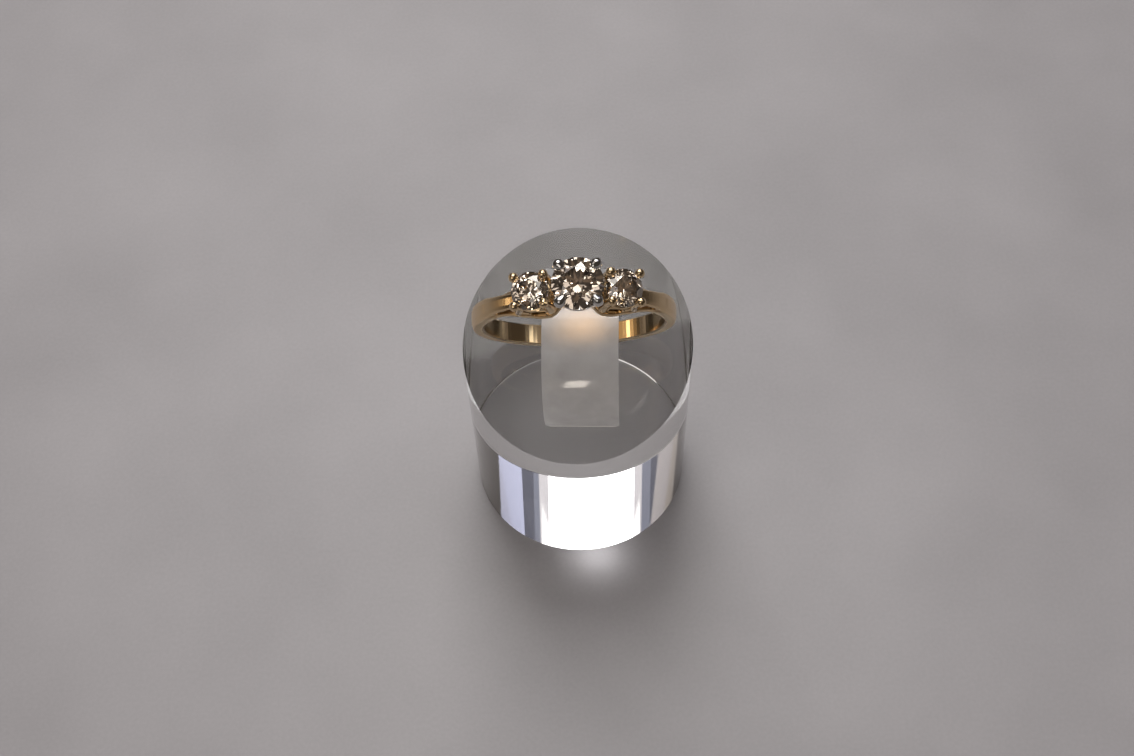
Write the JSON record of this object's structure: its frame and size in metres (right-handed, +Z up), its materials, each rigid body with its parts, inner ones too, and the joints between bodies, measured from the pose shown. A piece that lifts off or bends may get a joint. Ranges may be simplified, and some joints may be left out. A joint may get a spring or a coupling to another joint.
{
  "type": "three stone ring on a slanted display stand",
  "caption": "Gold finger ring with round brilliant stones in pronged heads, standing in an arched clip on a clear cylinder with a slanted top.",
  "frame": {"origin": "middle of the stand's underside, on the surface that it stands on", "axes": "+Z up along the cylinder's axis, -Y toward the viewer, to whom the slanted face falls, +X to the viewer's right, along the row of stones"},
  "size_m": [0.0254, 0.0254, 0.0517],
  "materials": {
    "stand_acrylic": "clear acrylic, polished all over",
    "clip_plastic": "translucent frosted plastic strip",
    "yellow_gold": "yellow gold, satin outside, polished inside and heads",
    "white_gold": "polished white gold",
    "diamond": "polished facets"
  },
  "bodies": {
    "root": {"stand": "stand_acrylic", "clip": "clip_plastic", "shank": "yellow_gold", "center_head": "white_gold", "center_stone": "diamond", "left_stone": "diamond", "right_stone": "diamond"}
  },
  "joints": []
}
